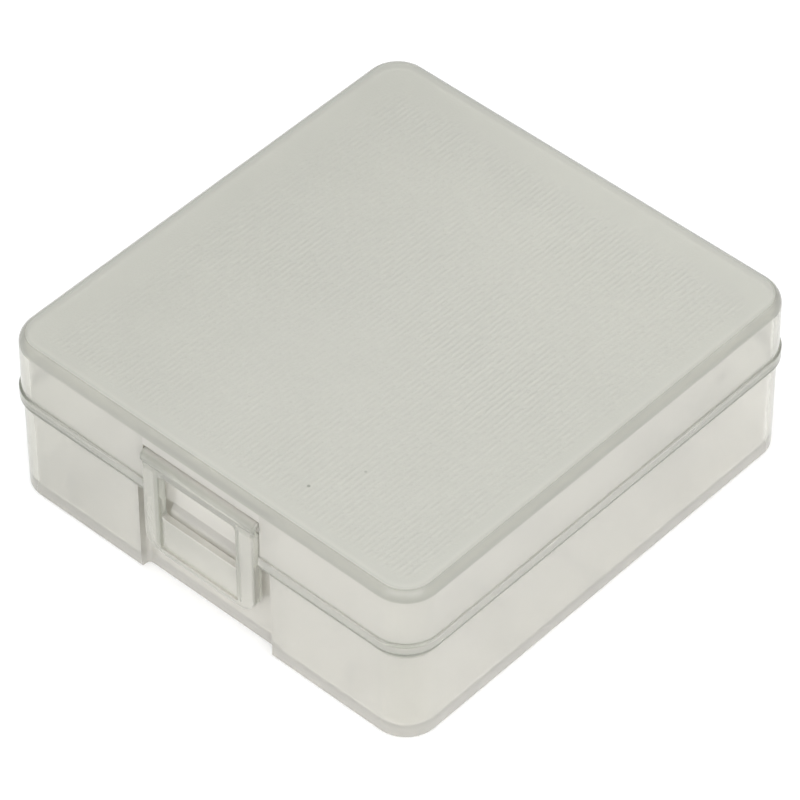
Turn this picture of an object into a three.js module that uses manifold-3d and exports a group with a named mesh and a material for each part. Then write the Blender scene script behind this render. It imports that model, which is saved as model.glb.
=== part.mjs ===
// A flat frosted plastic case with a hinged lid and a snap latch, for four cylindrical cells that
// lie side by side. It is three mouldings: the base tray, the lid and the latch. The lid's knuckles
// clip over two pins at the back of the tray, and the latch clips over a bar at the front of the lid.
//
// Millimetres, +Z up. The origin is the centre of the underside, the latch is on the -Y side, the
// lid's hinge is on the +Y side, and the cells lie along X.
import * as THREE from "three";
import { mergeVertices } from "three/addons/utils/BufferGeometryUtils.js";
import Module from "manifold-3d";

// Case, measured over the lid's rim
const rimWidth = 73.7; // along X
const rimDepth = 78; // along Y
const caseHeight = 28;
const rimCornerRadius = 5.6;
const partingHeight = 16.5; // underside of the lid's rim
const partingGap = 0.3; // between the rim and the top of the tray's wall
const wall = 1.4;
const floorThickness = 1.4;
const roofThickness = 1.4;

// Lid
const bandHeight = 1.9; // the thicker band along the lid's rim
const bandProud = 0.28; // how far the band stands out from the lid's wall
const bandSlope = 0.2; // height in which the band runs out into the wall
const rimEdge = 0.12; // small chamfer under the rim
const lidDraft = 0.1; // how far the lid's wall leans in towards the roof
const roofFillet = 1.9;
const roofInnerFillet = 0.9;

// Base tray
const trayInset = 0.52; // from the rim's outer face to the tray's outer face
const trayEdgeRadius = 0.4;
const floorFillet = 0.8;

// Lap joint: a tongue on the tray stands inside the lid's rim
const lipThickness = 1.1; // the lid's rim outside the tongue
const lapClearance = 0.3;
const tongueHeight = 1.6; // above the tray's wall
const tongueEdge = 0.15;

// Cell seats
const laneCount = 4;
const cellRadius = 9.2;
const seatClearance = 0.1;
const seatRise = 2; // from the floor to the lowest point of a seat
const cradleThickness = 1.1;
const cradleHeight = 8.2; // above the underside
const cradleSpacing = 51; // between the two cradle ribs, along X
const keelThickness = 1.1; // the low rib along the middle of the floor
const keelRise = 0.6;
const finThickness = 1;
const finLength = 8; // from the end wall
const finHeight = 11.9; // above the underside, at its highest
const finShoulderDrop = 0.9; // the fin is lower by this at the end wall
const finToeDrop = 1.6; // and by this at its free end, before the end turns down

// Latch
const latchWidth = 19.9;
const latchBottom = 7.1; // above the underside
const latchProud = 0.6; // how far the latch's face stands out from the rim
const latchThickness = 1.3;
const latchGap = 0.3; // all round the latch, from the case
const latchCornerRadius = 2.6;
const latchEdgeRadius = 0.35;
const barrelRadius = 1.2;
const barrelChamfer = 0.3;
const barrelOverhang = 0.65; // the barrel is longer than the plate by this at each end
const barRadius = 0.45; // the lid's bar, which the barrel clips over
const barClearance = 0.2;
const windowWidth = 14;
const windowHeight = 8.2;
const windowCornerRadius = 0.8;
const panelRecess = 0.35; // of the face below the window
const pullHeight = 1; // the full-thickness strip below the recessed face
const skirtThickness = 1;
const skirtGap = 0.9; // between the skirt and the pocket behind it
const skirtTopGap = 0.6; // between the skirt and the parting line

// Where the latch lies
const latchAxisHeight = 23.2;
const recessSideGap = 0.95; // beside the latch, in the lid
const pocketSideGap = 2.05; // beside the latch, in the tray
const pocketDepth = 2; // from the rim's outer face to the tray's pocket floor
const pocketCornerRadius = 0.7;
const latchWall = 1.2; // of the walls behind the latch
const catchWidth = 12.8;
const catchHeight = 2.5;
const catchCrestHeight = 0.9;
const catchTopDrop = 0.1; // below the top of the tray's wall

// Hinge at the back
const stationSpacing = 42; // between the two hinge stations, along X
const knuckleWidth = 8;
const knuckleGap = 0.3; // between a knuckle and an ear, along X
const earThickness = 1.6;
const knuckleRadius = 1.7;
const hingeGap = 0.3; // from the rim to the knuckles' round
const pinRadius = 0.8;
const pinClearance = 0.2;
const earWebHeight = 7.4; // from the ear's foot to the top of the tray's wall
const armSlope = 0.5; // by which the knuckle's arm stands higher at the lid than at the round

// Meshing
const cornerSteps = 12;
const filletSteps = 6;
const bevelSteps = 3;
const roundSteps = 48;
const seatSteps = 96;
const weldDistance = 0.0001;
const overrun = 2; // cuts run past the faces that they open by this much

// Frosted plastic
const frostedRoughness = 0.42;
const frostedOpacity = 0.75;

// Places worked out from the sizes
const frontY = -rimDepth / 2;
const backY = rimDepth / 2;
const trayTop = partingHeight - partingGap;
const tongueInset = lipThickness + lapClearance;
const tongueTop = trayTop + tongueHeight;
const rebateTop = tongueTop + lapClearance;
const hollowInset = trayInset + wall;
const lidHollowInset = bandProud + wall;
const innerEndX = rimWidth / 2 - hollowInset;
const innerSideY = rimDepth / 2 - hollowInset;
const lanePitch = (2 * innerSideY) / laneCount;
const seatRadius = cellRadius + seatClearance;
const seatAxisHeight = floorThickness + seatRise + seatRadius;
const latchFaceY = frontY - latchProud;
const latchBackY = latchFaceY + latchThickness;
const recessFloorY = latchBackY + latchGap;
const pocketFloorY = frontY + pocketDepth;
const skirtBackY = pocketFloorY - skirtGap;
const latchAxisY = latchFaceY + barrelRadius;
const barrelBoreRadius = barRadius + barClearance;
const grooveReach = barrelRadius + latchGap;
const grooveFloorY = latchAxisY + grooveReach;
const grooveTop = latchAxisHeight + grooveReach;
const windowTop = latchAxisHeight - barrelRadius;
const windowBottom = windowTop - windowHeight;
const recessHalfWidth = latchWidth / 2 + recessSideGap;
const pocketHalfWidth = latchWidth / 2 + pocketSideGap;
const hingeAxisY = backY + hingeGap + knuckleRadius;
const hingeAxisHeight = partingHeight - partingGap / 2;
const knuckleBoreRadius = pinRadius + pinClearance;
const earOffset = knuckleWidth / 2 + knuckleGap;

const wasm = await Module();
wasm.setup();

const alongX = new THREE.Matrix4().makeBasis(
  new THREE.Vector3(0, 1, 0),
  new THREE.Vector3(0, 0, 1),
  new THREE.Vector3(1, 0, 0),
);
const alongMinusY = new THREE.Matrix4().makeBasis(
  new THREE.Vector3(1, 0, 0),
  new THREE.Vector3(0, 0, 1),
  new THREE.Vector3(0, -1, 0),
);

function solid(geometry) {
  const bare = geometry.clone();
  bare.deleteAttribute("normal");
  bare.deleteAttribute("uv");
  const merged = mergeVertices(bare, weldDistance);
  return new wasm.Manifold(
    new wasm.Mesh({
      numProp: 3,
      vertProperties: new Float32Array(merged.attributes.position.array),
      triVerts: new Uint32Array(merged.index.array),
    }),
  );
}

// Points of a rectangle with round corners, anticlockwise seen from above.
function roundedOutline(halfX, halfY, radius) {
  const points = [];
  const corners = [
    [1, 1],
    [-1, 1],
    [-1, -1],
    [1, -1],
  ];
  corners.forEach(([signX, signY], quarter) => {
    for (let k = 0; k <= cornerSteps; k++) {
      const angle = ((quarter + k / cornerSteps) * Math.PI) / 2;
      points.push([
        signX * (halfX - radius) + radius * Math.cos(angle),
        signY * (halfY - radius) + radius * Math.sin(angle),
      ]);
    }
  });
  return points;
}

// A closed body through rings of the case's outline. Each ring is [inset from the rim, height].
function loft(rings) {
  const positions = [];
  for (const [inset, height] of rings) {
    const radius = rimCornerRadius - inset;
    for (const [x, y] of roundedOutline(rimWidth / 2 - inset, rimDepth / 2 - inset, radius))
      positions.push(x, y, height);
  }
  const count = positions.length / 3 / rings.length;
  const index = [];
  for (let r = 0; r + 1 < rings.length; r++)
    for (let k = 0; k < count; k++) {
      const low = r * count + k;
      const lowNext = r * count + ((k + 1) % count);
      index.push(low, lowNext, lowNext + count, low, lowNext + count, low + count);
    }
  const top = (rings.length - 1) * count;
  for (let k = 1; k + 1 < count; k++) {
    index.push(0, k + 1, k);
    index.push(top, top + k, top + k + 1);
  }
  const geometry = new THREE.BufferGeometry();
  geometry.setAttribute("position", new THREE.Float32BufferAttribute(positions, 3));
  geometry.setIndex(index);
  return solid(geometry);
}

// Rings of a quarter-round edge from the wall's inset up to a flat face, or from the face up.
function edgeRings(inset, radius, faceHeight, facesUp) {
  const rings = [];
  for (let k = 0; k <= filletSteps; k++) {
    const turn = ((k / filletSteps) * Math.PI) / 2;
    const angle = facesUp ? turn : Math.PI / 2 - turn;
    const height = radius * (1 - Math.sin(angle));
    rings.push([
      inset + radius * (1 - Math.cos(angle)),
      facesUp ? faceHeight - height : faceHeight + height,
    ]);
  }
  return rings;
}

function polygon(points) {
  return new THREE.Shape(points.map(([u, v]) => new THREE.Vector2(u, v)));
}

function rectangle(u0, u1, v0, v1) {
  return polygon([
    [u0, v0],
    [u1, v0],
    [u1, v1],
    [u0, v1],
  ]);
}

function roundedRectangle(u0, u1, v0, v1, radius) {
  const shape = new THREE.Shape();
  shape.absarc(u1 - radius, v0 + radius, radius, -Math.PI / 2, 0);
  shape.absarc(u1 - radius, v1 - radius, radius, 0, Math.PI / 2);
  shape.absarc(u0 + radius, v1 - radius, radius, Math.PI / 2, Math.PI);
  shape.absarc(u0 + radius, v0 + radius, radius, Math.PI, Math.PI * 1.5);
  shape.closePath();
  return shape;
}

function extrusion(shape, depth, bevel = 0) {
  return new THREE.ExtrudeGeometry(shape, {
    depth: depth - 2 * bevel,
    bevelEnabled: bevel > 0,
    bevelThickness: bevel,
    bevelSize: bevel,
    bevelOffset: -bevel,
    bevelSegments: bevelSteps,
    curveSegments: cornerSteps,
  }).translate(0, 0, bevel);
}

// A profile in the YZ plane, carried along X.
function sweepX(shape, x0, x1) {
  return solid(extrusion(shape, x1 - x0).applyMatrix4(alongX).translate(x0, 0, 0));
}

// A profile in the XZ plane, carried along Y.
function sweepY(shape, y0, y1, bevel = 0) {
  return solid(extrusion(shape, y1 - y0, bevel).applyMatrix4(alongMinusY).translate(0, y1, 0));
}

// A profile in the XY plane, carried along Z.
function sweepZ(shape, z0, z1) {
  return solid(extrusion(shape, z1 - z0).translate(0, 0, z0));
}

// A rod along X, with chamfered ends where a chamfer is given.
function rodX(y, z, radius, x0, x1, chamfer = 0, steps = roundSteps) {
  const profile = [
    [0, x0],
    [radius - chamfer, x0],
    [radius, x0 + chamfer],
    [radius, x1 - chamfer],
    [radius - chamfer, x1],
    [0, x1],
  ];
  const points = profile
    .filter(([u, v], k) => k === 0 || u !== profile[k - 1][0] || v !== profile[k - 1][1])
    .map(([u, v]) => new THREE.Vector2(u, v));
  const turned = new THREE.LatheGeometry(points, steps);
  return solid(turned.rotateZ(-Math.PI / 2).translate(0, y, z));
}

// The latch's outline, drawn in by an inset, with round lower corners and a straight top.
function latchOutline(inset, top) {
  const half = latchWidth / 2 - inset;
  const low = latchBottom + inset;
  const radius = latchCornerRadius - inset;
  const shape = new THREE.Shape();
  shape.moveTo(half, top);
  shape.lineTo(-half, top);
  shape.absarc(radius - half, low + radius, radius, Math.PI, Math.PI * 1.5);
  shape.absarc(half - radius, low + radius, radius, Math.PI * 1.5, Math.PI * 2);
  shape.closePath();
  return shape;
}

function traySeats() {
  const depth = 2 * innerSideY + wall;
  const blank = rectangle(-depth / 2, depth / 2, floorThickness / 2, cradleHeight);
  let ribs = null;
  for (const side of [-1, 1]) {
    const x0 = (side * cradleSpacing - cradleThickness) / 2;
    const rib = sweepX(blank, x0, x0 + cradleThickness);
    ribs = ribs ? ribs.add(rib) : rib;
  }
  const reach = cradleSpacing / 2 + cradleThickness + overrun;
  for (let lane = 0; lane < laneCount; lane++) {
    const y = (lane + 0.5) * lanePitch - innerSideY;
    ribs = ribs.subtract(rodX(y, seatAxisHeight, seatRadius, -reach, reach, 0, seatSteps));
  }
  return ribs;
}

// A thin fin on an end wall between two lanes. Its top edge swells a little and falls at both ends.
function finShape() {
  const rootX = innerEndX + wall / 2;
  const toeX = innerEndX - finLength;
  const shape = new THREE.Shape();
  shape.moveTo(rootX, floorThickness / 2);
  shape.lineTo(rootX, finHeight - finShoulderDrop);
  shape.lineTo(innerEndX, finHeight - finShoulderDrop);
  shape.bezierCurveTo(
    innerEndX - finLength / 4,
    finHeight,
    innerEndX - finLength / 2,
    finHeight,
    toeX + finThickness,
    finHeight - finToeDrop / 2,
  );
  shape.quadraticCurveTo(toeX, finHeight - finToeDrop, toeX, finHeight - 2 * finToeDrop);
  shape.lineTo(toeX, floorThickness / 2);
  shape.closePath();
  return shape;
}

function trayFins() {
  let fins = null;
  for (let gap = 1; gap < laneCount; gap++) {
    const y = gap * lanePitch - innerSideY;
    if (Math.abs(y) < keelThickness) continue; // only the keel marks the middle gap
    const fin = sweepY(finShape(), y - finThickness / 2, y + finThickness / 2);
    const pair = fin.add(fin.mirror([1, 0, 0]));
    fins = fins ? fins.add(pair) : pair;
  }
  return fins;
}

function trayKeel() {
  const length = 2 * innerEndX + wall;
  const shape = rectangle(-length / 2, length / 2, -keelThickness / 2, keelThickness / 2);
  return sweepZ(shape, floorThickness / 2, floorThickness + keelRise);
}

// The ridge that the latch snaps over: sloped above, steep below.
function catchRidge() {
  const top = trayTop - catchTopDrop;
  const crest = top - (catchHeight - catchCrestHeight);
  const root = pocketFloorY + latchWall / 2;
  const shape = polygon([
    [root, top - catchHeight],
    [recessFloorY, crest - catchCrestHeight],
    [recessFloorY, crest],
    [pocketFloorY, top],
    [root, top],
  ]);
  return sweepX(shape, -catchWidth / 2, catchWidth / 2);
}

// One ear of a hinge station: a round about the hinge's axis on a web that slopes to the wall.
function earShape() {
  const wallY = backY - trayInset - wall / 2;
  const lowAngle = -Math.PI / 3;
  const endAngle = Math.PI + Math.asin((hingeAxisHeight - trayTop) / knuckleRadius);
  const shape = new THREE.Shape();
  shape.moveTo(wallY, trayTop);
  shape.lineTo(wallY, trayTop - earWebHeight);
  shape.absarc(hingeAxisY, hingeAxisHeight, knuckleRadius, lowAngle, endAngle);
  shape.closePath();
  return shape;
}

function hingeStations() {
  return [-stationSpacing / 2, stationSpacing / 2];
}

function trayHinge() {
  let parts = null;
  for (const x of hingeStations()) {
    const reach = earOffset + earThickness;
    const left = sweepX(earShape(), x - reach, x - earOffset);
    const right = sweepX(earShape(), x + earOffset, x + reach);
    const embed = earThickness / 2;
    const pin = rodX(hingeAxisY, hingeAxisHeight, pinRadius, x - reach + embed, x + reach - embed);
    const station = left.add(right).add(pin);
    parts = parts ? parts.add(station) : station;
  }
  return parts;
}

function baseTray() {
  const shell = loft([...edgeRings(trayInset, trayEdgeRadius, 0, false), [trayInset, trayTop]]);
  const tongue = loft([
    [tongueInset, trayTop - wall],
    [tongueInset, tongueTop - tongueEdge],
    [tongueInset + tongueEdge, tongueTop],
  ]);
  const hollow = loft([
    ...edgeRings(hollowInset, floorFillet, floorThickness, false),
    [hollowInset, tongueTop + overrun],
  ]);
  const bulgeHalf = pocketHalfWidth + latchWall;
  const bulgeBackY = pocketFloorY + latchWall;
  const bulge = roundedRectangle(
    -bulgeHalf,
    bulgeHalf,
    frontY + trayInset + wall / 4,
    bulgeBackY,
    pocketCornerRadius,
  );
  const tongueBreak = rectangle(
    -bulgeHalf - lapClearance,
    bulgeHalf + lapClearance,
    frontY,
    bulgeBackY + wall,
  );
  const pocket = roundedRectangle(
    -pocketHalfWidth,
    pocketHalfWidth,
    latchFaceY - overrun,
    pocketFloorY,
    pocketCornerRadius,
  );
  return shell
    .add(tongue)
    .subtract(hollow)
    .subtract(sweepZ(tongueBreak, trayTop, tongueTop + overrun))
    .add(sweepZ(bulge, floorThickness / 2, trayTop))
    .subtract(sweepZ(pocket, -overrun, trayTop + overrun))
    .add(catchRidge())
    .add(traySeats())
    .add(trayFins())
    .add(trayKeel())
    .add(trayHinge());
}

// The space that the latch lies in, cut into the lid's front wall: a shallow recess below and a
// deeper groove round the barrel.
function latchSpace() {
  const shape = polygon([
    [latchFaceY - overrun, partingHeight - overrun],
    [recessFloorY, partingHeight - overrun],
    [recessFloorY, windowTop - latchGap - latchThickness / 3],
    [grooveFloorY, windowTop + latchGap / 3],
    [grooveFloorY, grooveTop],
    [latchFaceY - overrun, grooveTop],
  ]);
  return sweepX(shape, -recessHalfWidth, recessHalfWidth);
}

// The lid's wall behind that space, which bulges into the case.
function latchBulge() {
  const rootY = frontY + bandProud + wall / 2;
  const shape = polygon([
    [rootY, partingHeight],
    [recessFloorY + latchWall, partingHeight],
    [recessFloorY + latchWall, windowTop - latchGap - latchWall],
    [grooveFloorY + latchWall, windowTop - latchWall / 2],
    [grooveFloorY + latchWall, grooveTop + latchWall / 2],
    [grooveFloorY + latchWall / 2, grooveTop + latchWall],
    [rootY, grooveTop + latchWall],
  ]);
  return sweepX(shape, -recessHalfWidth - latchWall, recessHalfWidth + latchWall);
}

function lidKnuckles() {
  const wallY = backY - lipThickness / 2;
  const arm = polygon([
    [wallY, partingHeight],
    [hingeAxisY, partingHeight],
    [hingeAxisY, hingeAxisHeight + knuckleRadius],
    [wallY, hingeAxisHeight + knuckleRadius + armSlope],
  ]);
  const mouth = rectangle(
    hingeAxisY - pinRadius + pinClearance,
    hingeAxisY + pinRadius - pinClearance,
    hingeAxisHeight - knuckleRadius - overrun,
    hingeAxisHeight,
  );
  let knuckles = null;
  for (const x of hingeStations()) {
    const x0 = x - knuckleWidth / 2;
    const x1 = x + knuckleWidth / 2;
    const knuckle = rodX(hingeAxisY, hingeAxisHeight, knuckleRadius, x0, x1)
      .add(sweepX(arm, x0, x1))
      .subtract(rodX(hingeAxisY, hingeAxisHeight, knuckleBoreRadius, x0 - overrun, x1 + overrun))
      .subtract(sweepX(mouth, x0 - overrun, x1 + overrun));
    knuckles = knuckles ? knuckles.add(knuckle) : knuckle;
  }
  return knuckles;
}

function caseLid() {
  const bandTop = partingHeight + bandHeight;
  const wallTopInset = bandProud + lidDraft;
  const shell = loft([
    [rimEdge, partingHeight],
    [0, partingHeight + rimEdge],
    [0, bandTop - bandSlope],
    [bandProud, bandTop],
    ...edgeRings(wallTopInset, roofFillet, caseHeight, true),
  ]);
  const hollow = loft([
    [lipThickness, partingHeight - overrun],
    [lipThickness, rebateTop],
    [lidHollowInset, rebateTop],
    ...edgeRings(lidHollowInset + lidDraft, roofInnerFillet, caseHeight - roofThickness, true),
  ]);
  const barReach = recessHalfWidth + wall / 4;
  return shell
    .subtract(hollow)
    .add(latchBulge())
    .subtract(latchSpace())
    .add(rodX(latchAxisY, latchAxisHeight, barRadius, -barReach, barReach))
    .add(lidKnuckles());
}

// The latch: a plate with a window, a barrel along its top that clips over the lid's bar, and a
// skirt behind its sides, open between them so that it passes the catch.
function snapLatch() {
  const half = latchWidth / 2;
  const skirtTop = partingHeight - skirtTopGap;
  const plate = sweepY(
    latchOutline(0, latchAxisHeight),
    latchFaceY,
    latchBackY,
    latchEdgeRadius,
  );
  const skirt = sweepY(latchOutline(0, skirtTop), latchBackY - latchThickness / 2, skirtBackY);
  const inside = sweepY(
    latchOutline(skirtThickness, skirtTop + overrun),
    latchBackY,
    skirtBackY + overrun,
  );
  const catchPath = rectangle(-windowWidth / 2, windowWidth / 2, 0, skirtTop + overrun);
  const barrelHalf = half + barrelOverhang;
  const barrel = rodX(
    latchAxisY,
    latchAxisHeight,
    barrelRadius,
    -barrelHalf,
    barrelHalf,
    barrelChamfer,
  );
  const window = roundedRectangle(
    -windowWidth / 2,
    windowWidth / 2,
    windowBottom,
    windowTop,
    windowCornerRadius,
  );
  const panel = rectangle(
    -windowWidth / 2,
    windowWidth / 2,
    latchBottom + pullHeight,
    windowBottom + windowCornerRadius,
  );
  const mouth = rectangle(
    latchAxisY,
    latchAxisY + barrelRadius + overrun,
    latchAxisHeight - barRadius + barClearance / 2,
    latchAxisHeight + barRadius - barClearance / 2,
  );
  return plate
    .add(skirt)
    .subtract(inside)
    .subtract(sweepY(catchPath, latchBackY, skirtBackY + overrun))
    .add(barrel)
    .subtract(sweepY(window, latchFaceY - overrun, skirtBackY + overrun))
    .subtract(sweepY(panel, latchFaceY - overrun, latchFaceY + panelRecess))
    .subtract(
      rodX(latchAxisY, latchAxisHeight, barrelBoreRadius, -half - overrun, half + overrun),
    )
    .subtract(sweepX(mouth, -half - overrun, half + overrun));
}

function piece(name, body, colour) {
  const mesh = body.getMesh();
  const geometry = new THREE.BufferGeometry();
  geometry.setAttribute("position", new THREE.BufferAttribute(mesh.vertProperties, 3));
  geometry.setIndex(new THREE.BufferAttribute(mesh.triVerts, 1));
  geometry.computeVertexNormals();
  const material = new THREE.MeshStandardMaterial({
    color: colour,
    roughness: frostedRoughness,
    transparent: true,
    opacity: frostedOpacity,
  });
  const made = new THREE.Mesh(geometry, material);
  made.name = name;
  return made;
}

const batteryCase = new THREE.Group();
batteryCase.add(
  piece("base_tray", baseTray(), 0xd6d5c9),
  piece("hinged_lid", caseLid(), 0xcfd0c4),
  piece("snap_latch", snapLatch(), 0xd0d0c2),
);

export default batteryCase;
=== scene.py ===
"""A frosted plastic case for four cylindrical cells: a ribbed tray, a lid hinged at the back, and a
snap latch at the front. Sizes are in millimetres, and each finished mesh is scaled to metres."""

import math

import bmesh
import bpy
from mathutils import Matrix, Vector


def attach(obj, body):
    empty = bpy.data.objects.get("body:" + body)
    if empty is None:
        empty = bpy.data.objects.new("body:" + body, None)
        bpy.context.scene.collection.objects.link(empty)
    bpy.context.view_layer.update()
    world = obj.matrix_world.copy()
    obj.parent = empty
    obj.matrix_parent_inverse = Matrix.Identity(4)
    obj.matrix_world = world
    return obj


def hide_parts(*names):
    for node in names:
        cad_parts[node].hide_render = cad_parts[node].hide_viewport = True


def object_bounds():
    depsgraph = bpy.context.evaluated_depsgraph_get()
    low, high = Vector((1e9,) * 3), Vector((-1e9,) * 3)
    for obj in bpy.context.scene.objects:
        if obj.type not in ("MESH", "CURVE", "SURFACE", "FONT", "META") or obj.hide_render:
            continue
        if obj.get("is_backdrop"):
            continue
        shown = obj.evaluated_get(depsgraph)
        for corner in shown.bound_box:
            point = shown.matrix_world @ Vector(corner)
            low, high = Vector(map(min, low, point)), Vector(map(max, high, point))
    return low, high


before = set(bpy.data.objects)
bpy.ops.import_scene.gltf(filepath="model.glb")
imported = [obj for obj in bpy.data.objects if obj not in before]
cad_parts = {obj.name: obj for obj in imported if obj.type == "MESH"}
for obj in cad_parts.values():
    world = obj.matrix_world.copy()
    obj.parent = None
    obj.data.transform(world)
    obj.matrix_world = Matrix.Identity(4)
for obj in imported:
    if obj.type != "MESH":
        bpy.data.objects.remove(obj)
cad_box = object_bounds()
MM = 0.001

# Case
RIM_HALF_X = 36.85
RIM_HALF_Y = 39.0
RIM_CORNER = 5.6
HEIGHT = 28.0
PARTING = 16.5
IN_FLOOR = 0.7  # a height inside the tray's floor, where what stands on it starts
TRAY_TOP = 16.2
WALL = 1.4
TRAY_INSET = 0.52
TRAY_HOLLOW = 1.92
LIP = 1.1
TONGUE_INSET = 1.4
TONGUE_TOP = 17.8
LIP_TOP = 18.1  # where the lid's hollow steps in over the tray's tongue
BAND_TOP = 18.4
LID_HOLLOW = 1.68
LID_INSET = 0.38  # above the band
ROOF_ROUND = 1.9
ROOF_EDGE = 0.24  # how far down its round edge the roof's finish goes

# Latch and what it lies in
LATCH_HALF = 9.95
LATCH_BOTTOM = 7.1
BARREL_HALF = 10.3
BARREL_RADIUS = 1.2
BARREL_BORE = 0.65
BAR_RADIUS = 0.45
MOUTH_HALF = 0.35  # of the barrel's open side
FACE_Y = -39.6
PANEL_Y = -39.25
PANEL_LOW = 8.1
PLATE_BACK_Y = -38.3
SKIRT_BACK_Y = -37.9
SKIRT_TOP = 15.9
LATCH_AXIS = (-38.4, 23.2)
WINDOW_HALF = 7.0
WINDOW = (13.8, 22.0)
RECESS_HALF = 10.45
RECESS_Y = -38.0
GROOVE_Y = -36.9
GROOVE_TOP = 24.7
POCKET_HALF = 12.0
POCKET_Y = -37.0
POCKET_CORNER = 0.7
AHEAD = -42.0  # clear of the front
BEHIND = -35.3  # clear of the latch's back

# Hinge
HINGE_AXIS = (41.0, 16.35)
STATIONS = (-21.0, 21.0)
PIN_RADIUS = 0.8
PIN_BORE = 1.0
KNUCKLE_RADIUS = 1.7
KNUCKLE_HALF = 4.0
EAR_X = 4.3
EAR_WIDTH = 1.6

# Seats
LANE_PITCH = 18.54
LANES = (-1.5, -0.5, 0.5, 1.5)
SEAT_RADIUS = 9.3
SEAT_AXIS = 12.7
CRADLE_X = 25.5
CRADLE_HALF = 0.55
CRADLE_REACH = 37.0
CRADLE_TOP = 8.2
FIN_END = 34.85
FIN_TOE = 26.93
FIN_HALF = 0.5
KEEL_HALF = 0.55
KEEL_REACH = 35.6
KEEL_TOP = 2.0

GRAIN = 0.8  # spacing of the lines on the roof

CORNER_STEPS = 24
ROUND_STEPS = 96
HAIR = 0.0008  # points that lie closer than this are one
SHARP = 32  # degrees between faces that meet at an edge


def photo_camera():
    """The camera that was fitted to the photograph's outline, rim and corners."""
    turn, tilt, roll = (math.radians(angle) for angle in (42.5607, 45.4381, -0.17699))
    aim, aside, below, away = Vector((0, 0, 11.635)), 0.2361, 0.4073, 696.52
    flat = math.cos(tilt)
    back = Vector((math.sin(turn) * flat, -math.cos(turn) * flat, math.sin(tilt)))
    level = Vector((math.cos(turn), math.sin(turn), 0))
    upright = back.cross(level)
    right = level * math.cos(roll) + upright * math.sin(roll)
    up = upright * math.cos(roll) - level * math.sin(roll)
    eye = aim - aside * right - below * up + away * back
    data = bpy.data.cameras.new("photo_camera")
    data.lens = 231.892
    data.sensor_width = 36
    data.clip_start = 0.05
    data.clip_end = 20
    camera = bpy.data.objects.new("photo_camera", data)
    turned = Matrix((right, up, back)).transposed().to_4x4()
    camera.matrix_world = Matrix.Translation(eye * MM) @ turned
    bpy.context.scene.collection.objects.link(camera)
    bpy.context.scene.camera = camera


def shape(bm, name):
    """An object from a bmesh in millimetres."""
    bmesh.ops.recalc_face_normals(bm, faces=bm.faces)
    mesh = bpy.data.meshes.new(name)
    bm.to_mesh(mesh)
    bm.free()
    made = bpy.data.objects.new(name, mesh)
    bpy.context.scene.collection.objects.link(made)
    return made


def rounded(bm, geom, radius, segments, affect="EDGES", **more):
    """Rounds edges or corners."""
    bmesh.ops.bevel(
        bm, geom=geom, offset=radius, affect=affect, segments=segments, profile=0.5,
        material=-1, offset_type="OFFSET", **more,
    )


def outline(bm, inset, height):
    """A flat face with the case's round corners, facing up."""
    x, y = RIM_HALF_X - inset, RIM_HALF_Y - inset
    before = set(bm.faces)
    signs = ((-1, -1), (1, -1), (1, 1), (-1, 1))
    corners = [bm.verts.new((u * x, v * y, height)) for u, v in signs]
    bm.faces.new(corners)
    rounded(bm, corners, RIM_CORNER - inset, CORNER_STEPS, "VERTICES")
    bm.faces.ensure_lookup_table()
    return next(f for f in bm.faces if f not in before)


def follow(bm, face, places, up):
    """Carries a face of the outline through places, each an inset from the rim and a height."""
    inset, height = places[0]
    for next_inset, next_height in places[1:]:
        rise = next_height - height
        bmesh.ops.inset_region(
            bm, faces=[face], thickness=next_inset - inset, depth=rise if up else -rise,
            use_boundary=True, use_even_offset=True,
        )
        inset, height = next_inset, next_height


def fillet(inset, height, radius, rise, steps):
    """Places for follow along a quarter round, from a wall inwards to a flat face. Rise is 1 for
    a face above and -1 for one below."""
    turns = [math.pi / 2 * k / steps for k in range(steps + 1)]
    return [
        (inset + radius * (1 - math.cos(turn)), height + rise * radius * math.sin(turn))
        for turn in turns
    ]


def shell(name, start, down, up):
    """A closed moulding: the outline goes from its start down one list of places and up another."""
    bm = bmesh.new()
    follow(bm, outline(bm, *start), [start, *up], True)
    lower = outline(bm, *start)
    bmesh.ops.reverse_faces(bm, faces=[lower])
    follow(bm, lower, [start, *down], False)
    bmesh.ops.remove_doubles(bm, verts=bm.verts, dist=0.0005)
    return shape(bm, name)


SPREAD = {
    "X": lambda u, v, w: (w, u, v),
    "Y": lambda u, v, w: (u, w, v),
    "Z": lambda u, v, w: (u, v, w),
}


def prism(points, axis, low, high, rounds=None, steps=8, bevel=0, bevel_low_only=False):
    """A piece of even section along an axis. Rounds gives some of its corners a radius."""
    bm = bmesh.new()
    place = SPREAD[axis]
    corners = [bm.verts.new(place(u, v, low)) for u, v in points]
    bm.faces.new(corners)
    for corner, radius in (rounds or {}).items():
        rounded(bm, [corners[corner]], radius, steps, "VERTICES")
    bm.faces.ensure_lookup_table()
    first = bm.faces[0]
    moved = bmesh.ops.extrude_face_region(bm, geom=[first], use_keep_orig=True)["geom"]
    verts = [element for element in moved if isinstance(element, bmesh.types.BMVert)]
    bmesh.ops.translate(bm, verts=verts, vec=Vector(place(0, 0, high - low)))
    if bevel:
        along = Vector(place(0, 0, 1))
        bmesh.ops.recalc_face_normals(bm, faces=bm.faces)
        ends = [f for f in bm.faces if len(f.verts) > 4 or abs(f.normal.dot(along)) > 0.99]
        low_end = min(ends, key=lambda f: f.calc_center_median().dot(along))
        edges = set(low_end.edges) if bevel_low_only else {e for f in ends for e in f.edges}
        rounded(bm, list(edges), bevel, 4, clamp_overlap=True)
    return shape(bm, "prism")


def upright(half, low, high):
    """The corners of an upright rectangle about the middle, from its upper left down and round."""
    return [(-half, high), (-half, low), (half, low), (half, high)]


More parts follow.
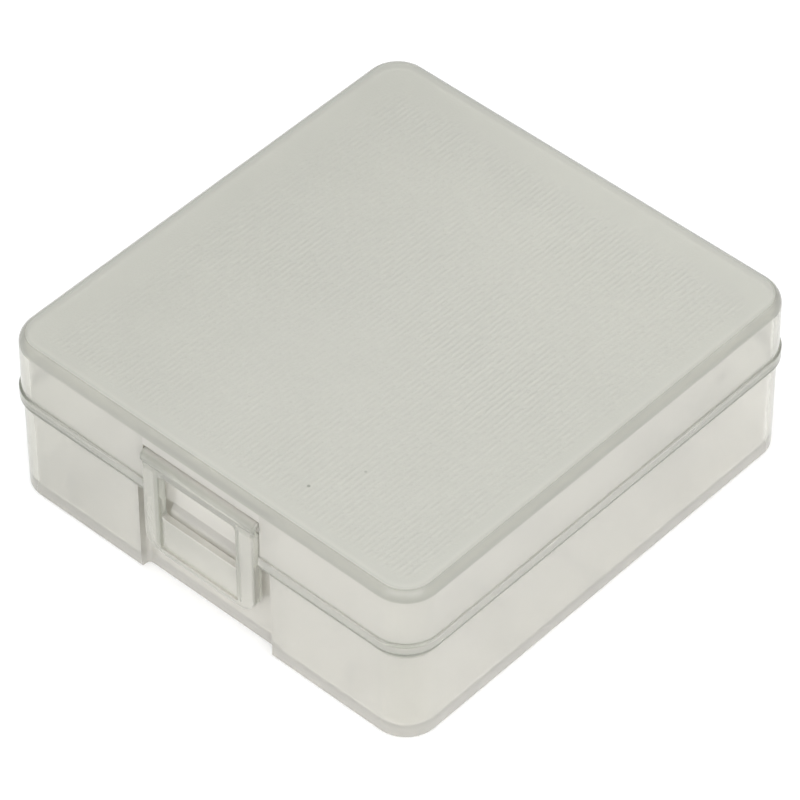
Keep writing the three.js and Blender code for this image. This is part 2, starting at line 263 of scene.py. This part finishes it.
def box(x, y, z, **more):
    """A prism along Z with a rectangular outline."""
    return prism([(x[0], y[0]), (x[1], y[0]), (x[1], y[1]), (x[0], y[1])], "Z", *z, **more)


def rod(axis, radius, low, high, bevel=0):
    """A round bar along X."""
    bm = bmesh.new()
    turned = Matrix.Translation(((low + high) / 2, *axis)) @ Matrix.Rotation(math.pi / 2, 4, "Y")
    bmesh.ops.create_cone(
        bm, cap_ends=True, segments=ROUND_STEPS, radius1=radius, radius2=radius, depth=high - low,
        matrix=turned,
    )
    if bevel:
        ends = [e for e in bm.edges if abs(e.verts[0].co.x - e.verts[1].co.x) < 0.001]
        rounded(bm, ends, bevel, 3)
    return shape(bm, "rod")


def carve(piece, *tools, operation="DIFFERENCE"):
    """Cuts tools out of a piece one by one, or joins them to it, and removes them."""
    for tool in tools:
        step = piece.modifiers.new("carve", "BOOLEAN")
        step.operation = operation
        step.solver = "EXACT"
        step.object = tool
        graph = bpy.context.evaluated_depsgraph_get()
        mesh = bpy.data.meshes.new_from_object(piece.evaluated_get(graph))
        piece.modifiers.clear()
        piece.data = mesh
        bpy.data.objects.remove(tool)
    return piece


def join(piece, *tools):
    """Makes one closed moulding of a piece and its tools."""
    return carve(piece, *tools, operation="UNION")


def finished(piece, name, body, node, slot, material, *zones):
    """Puts a moulding in its place in metres, with its node, body and finish. A zone is a height and
    the finish of the faces above it."""
    bm = bmesh.new()
    bm.from_mesh(piece.data)
    bmesh.ops.remove_doubles(bm, verts=bm.verts, dist=HAIR)
    bmesh.ops.dissolve_degenerate(bm, edges=bm.edges, dist=HAIR)
    bmesh.ops.scale(bm, verts=bm.verts, vec=(MM, MM, MM))
    mesh = bpy.data.meshes.new(name)
    bm.to_mesh(mesh)
    bm.free()
    mesh.shade_smooth()
    mesh.set_sharp_from_angle(angle=math.radians(SHARP))
    mesh.materials.clear()
    mesh.materials.append(material)
    for index, (height, other) in enumerate(zones, 1):
        mesh.materials.append(other)
        for face in mesh.polygons:
            if face.center.z > height * MM:
                face.material_index = index
    piece.data = mesh
    piece.name = name
    even = piece.modifiers.new("even_light", "WEIGHTED_NORMAL")
    even.keep_sharp = True
    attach(piece, body)
    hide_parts(node)


class Wire:
    """A shader socket that can be used in Python sums."""

    def __init__(self, finish, socket):
        self.finish = finish
        self.socket = socket

    def _with(self, operation, *values):
        return self.finish.node("ShaderNodeMath", {"operation": operation}, dict(enumerate(values)))

    def __add__(self, other):
        return self._with("ADD", self, other)

    __radd__ = __add__

    def __sub__(self, other):
        return self._with("SUBTRACT", self, other)

    def __rsub__(self, other):
        return self._with("SUBTRACT", other, self)

    def __mul__(self, other):
        return self._with("MULTIPLY", self, other)

    __rmul__ = __mul__

    def __truediv__(self, other):
        return self._with("DIVIDE", self, other)

    def __abs__(self):
        return self._with("ABSOLUTE", self)

    def sine(self):
        return self._with("SINE", self)

    def above(self, low, high):
        """0 below low, 1 above high, and smooth between them."""
        return self.finish.node(
            "ShaderNodeMapRange",
            {"interpolation_type": "SMOOTHSTEP"},
            {"Value": self, "From Min": low, "From Max": high, "To Min": 0.0, "To Max": 1.0},
        )


class Finish:
    """A procedural finish on one Principled shader."""

    def __init__(self, name, **constants):
        self.material = bpy.data.materials.new(name)
        self.material.use_nodes = True
        self.tree = self.material.node_tree
        self.shader = self.tree.nodes["Principled BSDF"]
        for socket, value in constants.items():
            self.shader.inputs[socket.replace("_", " ")].default_value = value
        self.coords = self.node("ShaderNodeTexCoord", output="Object")
        self.x, self.y, self.z = (
            self.node("ShaderNodeSeparateXYZ", {}, {0: self.coords}, axis) / MM for axis in "XYZ"
        )

    def node(self, kind, settings=None, values=None, output=0):
        """A node with its settings and inputs, as the wire from one of its outputs."""
        made = self.tree.nodes.new(kind)
        for setting, value in (settings or {}).items():
            setattr(made, setting, value)
        for socket, value in (values or {}).items():
            if isinstance(value, Wire):
                self.tree.links.new(value.socket, made.inputs[socket])
            else:
                made.inputs[socket].default_value = value
        return Wire(self, made.outputs[output])

    def noise(self, size, detail=2.0, stretch=(1, 1, 1)):
        """Noise from 0 to 1, with features about this many millimetres wide."""
        placed = self.node("ShaderNodeMapping", {}, {0: self.coords, "Scale": stretch})
        values = {"Vector": placed, "Scale": 1 / (size * MM), "Detail": detail}
        return self.node("ShaderNodeTexNoise", {}, values)

    def blend(self, share, low, high):
        """A colour between two, by a share."""
        values = {0: share, 6: (*low, 1), 7: (*high, 1)}
        return self.node("ShaderNodeMix", {"data_type": "RGBA", "clamp_factor": False}, values, 2)

    def bump(self, height, distance):
        """A normal for a relief this many millimetres deep."""
        values = {"Height": height, "Distance": distance * MM, "Strength": 1.0}
        return self.node("ShaderNodeBump", {}, values)

    def absorb(self, colour, density):
        """Light is lost inside the plastic, more where it is thick."""
        values = {"Color": (*colour, 1), "Density": density}
        inside = self.node("ShaderNodeVolumeAbsorption", {}, values)
        volume = self.tree.nodes["Material Output"].inputs["Volume"]
        self.tree.links.new(inside.socket, volume)

    def feed(self, socket, wire):
        self.tree.links.new(wire.socket, self.shader.inputs[socket])


# Colours of the plastic: thin, on the roof, on its round edge, which is darker with painted shade,
# where it is densest and where shade is painted, and inside it
CLEAR = (0.895, 0.88, 0.825)
MILKY = (0.90, 0.90, 0.83)
EDGE = (0.69, 0.69, 0.63)
DENSE_AND_SHADE = (0.52, 0.53, 0.47)
SHADE = (0.80, 0.80, 0.73)


def frosted(name, clarity, satin, density_and_painted_light, clear=CLEAR, depth=60):
    """Frosted polypropylene: hazy inside, faintly cloudy, with a fine mould texture on its skin."""
    finish = Finish(name, IOR=1.49, Transmission_Weight=clarity)
    finish.absorb(SHADE, depth)
    cloud = finish.noise(9.0, 3.0)
    grit = finish.noise(0.35, 1.0)
    # The share of the dark colour holds painted shade and painted light as well as the plastic's
    # density and cloud.
    finish.feed("Base Color", finish.blend(0.1 * cloud + density_and_painted_light(finish), clear, DENSE_AND_SHADE))
    finish.feed("Roughness", satin + 0.05 * cloud + 0.02 * grit)
    return finish, cloud, grit


def moulded(*looks, **more):
    """Frosted polypropylene with nothing on its skin but the mould's texture."""
    finish, cloud, grit = frosted(*looks, **more)
    finish.feed("Normal", finish.bump(0.6 * grit + 0.4 * cloud, 0.01))
    return finish.material


def line(wire, place, width):
    """1 on a line at a place, and 0 a width away from it."""
    return 1 - abs(wire - place).above(width / 2, width)


def specks(finish):
    """Two dark specks in the plastic of the roof, tenths of a millimetre wide."""
    share = 0
    for x, y, radius, strength in ((12.9, -31.8, 0.3, 1.0), (16.6, -25.0, 0.25, 0.6)):
        across, along = finish.x - x, finish.y - y
        away = across * across + along * along
        share = strength * (1 - away.above(0.25 * radius**2, radius**2)) + share
    return share


def corner(f):
    """1 on the four corners, where painted shade darkens the highlight that the lamps put there."""
    return abs(f.x).above(29, 36) * abs(f.y).above(31, 38.5)


def ribs(f):
    """The keel, fins and rib ends, with painted shade along their thin edges, where such edges show as
    dark lines through the walls.
    """
    across = abs(f.y)
    inside = 1 - abs(f.x).above(34.6, 34.8)
    keel_edge = (1 - across.above(KEEL_HALF, KEEL_HALF + 0.15)) * f.z.above(1.5, 1.7)
    fin_edge = line(across, LANE_PITCH, 0.6) * f.z.above(9.0, 9.6) * abs(f.x).above(26.7, 26.8)
    at_end = across.above(CRADLE_REACH - 0.1, CRADLE_REACH - 0.05)
    past_end = across.above(CRADLE_REACH, CRADLE_REACH + 0.05)
    rib_end = 0.9 * line(abs(f.x), CRADLE_X, 1.1) * at_end * (1 - past_end)
    return inside * (keel_edge + fin_edge + rib_end)


def tray_finish():
    """The tray, with painted shade along its top at the parting line, at the ribs' edges, to the left
    and on the corners, and painted light in the latch's pocket and along its foot.
    """
    def density_and_painted_light(f):
        # Painted light in the latch's pocket, where shade falls, most in its upper part.
        behind_latch = (1 - f.y.above(-36.9, -36.8)) * (1 - abs(f.x).above(12.05, 12.2))
        pocket = behind_latch * (0.5 + 0.5 * f.z.above(11.5, 12.5))
        # Painted shade along the tray's top at the parting line, at the ribs' edges, to the left and on
        # the corners; painted light along the foot.
        rim = 0.8 * line(f.z, TRAY_TOP, 0.7) * (1 - pocket)
        left = 0.3 * (1 - f.x.above(-36, 0))
        low = 0.2 * (1 - f.z.above(1.5, 2.5))
        return rim + 1.1 * ribs(f) - 0.3 * pocket + left + 0.2 * corner(f) - 0.02 - low

    return moulded("tray_polypropylene", 0.68, 0.09, density_and_painted_light)


def lid_finish():
    """The lid's walls, with painted shade at the parting line, at the band's upper step (most on the
    corners), to the left, towards the back and on the corners, a darker band where the wall is double
    over the tray's tongue, and painted light in the latch's recess.
    """
    def density_and_painted_light(f):
        # Painted shade: dark lines at the band's upper step, strongest on the corners against the
        # lamps' highlight, and at the parting line below it; the band over the tray's tongue is darker
        # too.
        step = (0.1 + 0.7 * corner(f)) * line(f.z, BAND_TOP - 0.05, 0.45)
        rim = 0.9 * line(f.z, PARTING, 0.6) + step + 0.2 * line(f.z, 17.5, 1.2)
        # Painted light in the latch's recess, where shade falls.
        beside = abs(f.x).above(RECESS_HALF, RECESS_HALF + 0.05)
        recess = (1 - beside) * (1 - f.y.above(-36.8, -36.7))
        # Painted shade to the left, towards the back and on the corners.
        left = 0.35 * (1 - f.x.above(-36, -2))
        back = 0.2 * f.y.above(0, 36)
        return rim * (1 - recess) - 0.25 * recess + left + back + 0.1 * corner(f)

    return moulded("lid_polypropylene", 0.68, 0.09, density_and_painted_light)


def edge_finish():
    """The round edge of the roof, which is thick and so more even and less clear, with painted shade in
    its darker colour, most low on the edge and on the corners.
    """
    def density_and_painted_light(f):
        # Painted shade, darkest low on the round edge and on the corners.
        return 0.35 * (1 - f.z.above(HEIGHT - ROOF_ROUND, 27.6)) + 0.3 * corner(f)

    return moulded("edge_polypropylene", 0.6, 0.2, density_and_painted_light, EDGE)


def roof_finish():
    """The lid's roof, with fine straight grain that runs out near the edges, a few specks, and painted
    shade to the left and along its border with the round edge.
    """
    def density_and_painted_light(f):
        # Painted shade to the left and along the roof's border with its round edge; the specks are the
        # plastic's own.
        left = 0.15 * (1 - f.x.above(-37, 5))
        return specks(f) + 0.16 + left + 0.3 * (1 - f.z.above(27.78, 27.94))

    finish, cloud, grit = frosted("roof_polypropylene", 0.5, 0.3, density_and_painted_light, MILKY)
    across = finish.x.above(-33, -27) * (1 - finish.x.above(32.5, 34.4))
    inside = across * finish.y.above(-36.5, -34.5) * (1 - finish.y.above(29, 35))
    wobble = finish.noise(5.0, 2.0)
    grain = (finish.x * (2 * math.pi / GRAIN) + wobble).sine() * 0.5 + 0.5
    broken = finish.noise(0.8, 2.0, (1, 0.5, 1)).above(0.3, 0.6)
    patchy = 0.65 + 0.35 * finish.noise(24.0).above(0.3, 0.6)
    strength = (0.85 + 0.15 * finish.y.above(-16, -2)) * (0.9 + 0.1 * finish.x.above(-16, -4))
    lines = grain * broken * patchy * inside * strength
    finish.feed("Normal", finish.bump(lines + 0.2 * grit + 0.14 * cloud, 0.076))
    return finish.material


def latch_finish():
    """The latch, with painted shade on its barrel, beside its window, on its sides and to the left, and
    painted light on the barrel's upper part and on the window's sill.
    """
    def density_and_painted_light(f):
        low, high = WINDOW
        across = abs(f.x)
        # Painted shade on the barrel, beside the window, on the sides and to the left; painted light on
        # the barrel's upper part and on the window's sill.
        barrel = f.z.above(high - 0.2, high + 0.2)
        top = 0.75 * f.z.above(22.6, 23.0) * f.y.above(-39.4, -38.5)
        jambs = 0.5 * line(across, 7.3, 0.6) * f.z.above(PANEL_LOW, PANEL_LOW + 0.5) * (1 - barrel)
        sill = 0.45 * line(f.z, low, 0.3) * (1 - across.above(WINDOW_HALF - 0.2, WINDOW_HALF))
        left = 0.15 * (1 - f.x.above(-9, 4))
        sides = 0.25 * across.above(9.75, 9.9)
        return 0.23 + 0.4 * barrel - top + jambs - sill + left + sides

    return moulded("latch_polypropylene", 0.68, 0.09, density_and_painted_light, depth=30)


def base_tray():
    """The tray with its pocket, catch, cradles, fins, keel, ears and pins."""
    tray = shell(
        "base_tray_moulding",
        (TRAY_INSET, TRAY_TOP - 0.1),
        [*fillet(TRAY_INSET, 0.4, 0.4, -1, 5)],
        [
            (TRAY_INSET + 0.03, TRAY_TOP - 0.03),
            (TRAY_INSET + 0.1, TRAY_TOP),
            (TONGUE_INSET, TRAY_TOP),
            (TONGUE_INSET, TONGUE_TOP - 0.15),
            (TONGUE_INSET + 0.05, TONGUE_TOP - 0.05),
            (TONGUE_INSET + 0.15, TONGUE_TOP),
            (TRAY_HOLLOW - 0.06, TONGUE_TOP),
            (TRAY_HOLLOW, TONGUE_TOP - 0.06),
            *fillet(TRAY_HOLLOW, 2.2, 0.8, -1, 6),
        ],
    )
    # At the latch the tongue is cut away and the wall goes in round the pocket.
    corners = {2: POCKET_CORNER, 3: POCKET_CORNER}
    carve(tray, box((-13.5, 13.5), (-39.0, -34.4), (TRAY_TOP, 20)))
    join(tray, box((-13.2, 13.2), (-38.13, -35.8), (IN_FLOOR, TRAY_TOP), rounds=corners))
    carve(tray, box((-POCKET_HALF, POCKET_HALF), (AHEAD, POCKET_Y), (-2, 18), rounds=corners))
    join(tray, catch_ridge(), *cradles(), *fins(), keel())
    for x in STATIONS:
        join(tray, *ears(x))
    return tray


def catch_ridge():
    """The ridge that the latch snaps over: sloped above, steep in front."""
    section = [(-36.4, 12.0), (-38.0, 12.0), (-38.0, 14.5), (-37.0, 16.1), (-36.4, 16.1)]
    return prism(section, "X", -6.4, 6.4, rounds={1: 0.25, 2: 0.4}, steps=5)


def cradles():
    """Two thin ribs across the floor, scalloped to seat the cells."""
    section = upright(CRADLE_REACH, IN_FLOOR, CRADLE_TOP)
    for x in (-CRADLE_X, CRADLE_X):
        rib = prism(section, "X", x - CRADLE_HALF, x + CRADLE_HALF)
        for lane in LANES:
            carve(rib, rod((lane * LANE_PITCH, SEAT_AXIS), SEAT_RADIUS, x - 2, x + 2))
        yield rib


def fins():
    """Thin fins on the end walls between the outer lanes, with a swelling top edge."""
    top = [(FIN_END, 11.0), (33.6, 11.45), (32.2, 11.75), (30.7, 11.85), (29.2, 11.65)]
    toe = [
        (28.1, 11.2), (27.35, 10.55), (27.0, 9.7), (FIN_TOE, 8.7), (FIN_TOE, IN_FLOOR),
        (FIN_END, IN_FLOOR),
    ]
    for side in (-1, 1):
        for y in (-LANE_PITCH, LANE_PITCH):
            points = [(side * u, v) for u, v in top + toe]
            yield prism(points, "Y", y - FIN_HALF, y + FIN_HALF, bevel=0.12)


def keel():
    """A low wall along the middle of the floor."""
    return box((-KEEL_REACH, KEEL_REACH), (-KEEL_HALF, KEEL_HALF), (IN_FLOOR, KEEL_TOP))


def ears(x):
    """Two ears and the pin between them, at the back of the tray."""
    y, z = HINGE_AXIS
    section = [(37.78, TRAY_TOP), (37.78, 8.8), (y + 0.85, z - 1.472), (y + 0.2, TRAY_TOP)]
    for low in (x - EAR_X - EAR_WIDTH, x + EAR_X):
        web = prism(section, "X", low, low + EAR_WIDTH)
        yield join(rod(HINGE_AXIS, KNUCKLE_RADIUS, low, low + EAR_WIDTH), web)
    yield rod(HINGE_AXIS, PIN_RADIUS, x - 5.0, x + 5.0)


def hinged_lid():
    """The lid with its latch recess, the bar in it and the knuckles."""
    lid = shell(
        "hinged_lid_moulding",
        (0, PARTING + 0.12),
        [
            (0.04, PARTING + 0.04),
            (0.12, PARTING),
            (LIP - 0.06, PARTING),
            (LIP, PARTING + 0.06),
            (LIP, LIP_TOP),
            (LID_HOLLOW, LIP_TOP),
            *fillet(LID_HOLLOW + 0.1, HEIGHT - WALL - 0.9, 0.9, 1, 6),
        ],
        [
            (0, BAND_TOP - 0.2),
            (0.04, BAND_TOP - 0.1),
            (0.12, BAND_TOP - 0.04),
            (0.28, BAND_TOP),
            *fillet(LID_INSET, HEIGHT - ROOF_ROUND, ROOF_ROUND, 1, 12),
        ],
    )
    # The wall goes in behind the recess, so that it has its thickness there too.
    bulge = [
        (-38.02, PARTING), (-36.8, PARTING), (-36.8, 20.5), (-35.7, 21.4), (-35.7, 25.3), (-36.3, 25.9),
        (-38.02, 25.9),
    ]
    space = [
        (AHEAD, 14.5), (RECESS_Y, 14.5), (RECESS_Y, 21.27), (GROOVE_Y, 22.1), (GROOVE_Y, GROOVE_TOP),
        (AHEAD, GROOVE_TOP),
    ]
    join(lid, prism(bulge, "X", -12.1, 12.1))
    carve(lid, prism(space, "X", -RECESS_HALF, RECESS_HALF, rounds={4: 0.4}))
    join(lid, rod(LATCH_AXIS, BAR_RADIUS, -RECESS_HALF - 0.1, RECESS_HALF + 0.1))
    for x in STATIONS:
        join(lid, knuckle(x))
    return lid


def knuckle(x):
    """A knuckle on its arm, with a bore that is open below, so that it clips over the pin."""
    y, z = HINGE_AXIS
    low, high = x - KNUCKLE_HALF, x + KNUCKLE_HALF
    section = [(38.45, PARTING), (y, PARTING), (y, z + KNUCKLE_RADIUS), (38.45, z + 2.2)]
    made = join(rod(HINGE_AXIS, KNUCKLE_RADIUS, low, high), prism(section, "X", low, high))
    opening = [(y - 0.6, z - 4), (y + 0.6, z - 4), (y + 0.6, z), (y - 0.6, z)]
    mouth = prism(opening, "X", low - 1, high + 1)
    return carve(made, rod(HINGE_AXIS, PIN_BORE, low - 1, high + 1), mouth)


def snap_latch():
    """The latch: plate, skirt, window, sunk panel and the barrel with its bore and mouth."""
    y, z = LATCH_AXIS
    low, high = WINDOW
    clear = LATCH_HALF + 2
    latch = prism(
        upright(LATCH_HALF, LATCH_BOTTOM, z), "Y", FACE_Y, PLATE_BACK_Y,
        rounds={1: 2.6, 2: 2.6}, bevel=0.35, bevel_low_only=True,
    )
    skirt = upright(LATCH_HALF, LATCH_BOTTOM, SKIRT_TOP)
    join(latch, prism(skirt, "Y", -38.95, SKIRT_BACK_Y, rounds={1: 2.6, 2: 2.6}))
    hollow = upright(LATCH_HALF - 1, LATCH_BOTTOM + 1, 18)
    carve(latch, prism(hollow, "Y", PLATE_BACK_Y, BEHIND, rounds={1: 1.6, 2: 1.6}))
    carve(latch, box((-WINDOW_HALF, WINDOW_HALF), (PLATE_BACK_Y, BEHIND), (0, 18)))
    join(latch, rod(LATCH_AXIS, BARREL_RADIUS, -BARREL_HALF, BARREL_HALF, bevel=0.3))
    window = prism(
        upright(WINDOW_HALF, low, high), "Y", AHEAD, BEHIND, rounds=dict.fromkeys(range(4), 0.8)
    )
    carve(latch, window)
    carve(latch, prism(upright(WINDOW_HALF, PANEL_LOW, low + 0.8), "Y", AHEAD, PANEL_Y))
    carve(latch, rod(LATCH_AXIS, BARREL_BORE, -clear, clear))
    bottom, top = z - MOUTH_HALF, z + MOUTH_HALF
    mouth = [(y, bottom), (y + 3.2, bottom), (y + 3.2, top), (y, top)]
    return carve(latch, prism(mouth, "X", -clear, clear))


def studio():
    """A plain pale floor and soft light from above and all round."""
    bm = bmesh.new()
    bmesh.ops.create_grid(bm, x_segments=1, y_segments=1, size=3.0)
    floor = shape(bm, "floor")
    # The floor lies a hair under the case, so that the two never share a face.
    floor.data.transform(Matrix.Translation((0, 0, -0.0002)))
    ground = bpy.data.materials.new("pale_floor")
    ground.use_nodes = True
    for socket, value in (
        ("Base Color", (0.85, 0.85, 0.85, 1)), ("Roughness", 0.9),
        ("Emission Color", (1, 1, 1, 1)), ("Emission Strength", 0.2),
    ):
        ground.node_tree.nodes["Principled BSDF"].inputs[socket].default_value = value
    floor.data.materials.append(ground)
    floor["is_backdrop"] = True
    world = bpy.data.worlds.new("studio")
    world.use_nodes = True
    world.node_tree.nodes["Background"].inputs["Color"].default_value = (1, 1, 1, 1)
    world.node_tree.nodes["Background"].inputs["Strength"].default_value = 1.0
    bpy.context.scene.world = world
    bpy.context.scene.view_settings.view_transform = "Standard"
    for name, place, size, power in (
        ("softbox_right", (0.72, -0.3, 0.45), 0.65, 3.0),
        ("softbox_front", (0.15, -0.77, 0.45), 0.65, 2.4),
    ):
        data = bpy.data.lights.new(name, "AREA")
        data.shape = "SQUARE"
        data.size = size
        data.energy = power
        lamp = bpy.data.objects.new(name, data)
        aimed = (-Vector(place)).to_track_quat("-Z", "Y").to_matrix().to_4x4()
        lamp.matrix_world = Matrix.Translation(place) @ aimed
        bpy.context.scene.collection.objects.link(lamp)


photo_camera()
finished(
    base_tray(), "base_tray_moulding", "tray", "base_tray", "tray_polypropylene", tray_finish()
)
finished(
    hinged_lid(), "hinged_lid_moulding", "lid", "hinged_lid", "lid_polypropylene", lid_finish(),
    (HEIGHT - ROOF_ROUND, edge_finish()), (HEIGHT - ROOF_EDGE, roof_finish()),
)
finished(
    snap_latch(), "snap_latch_moulding", "latch", "snap_latch", "latch_polypropylene", latch_finish()
)
studio()

boxes = {name: [list(corner) for corner in corners] for name, corners in (("cad", cad_box), ("visual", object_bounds()))}
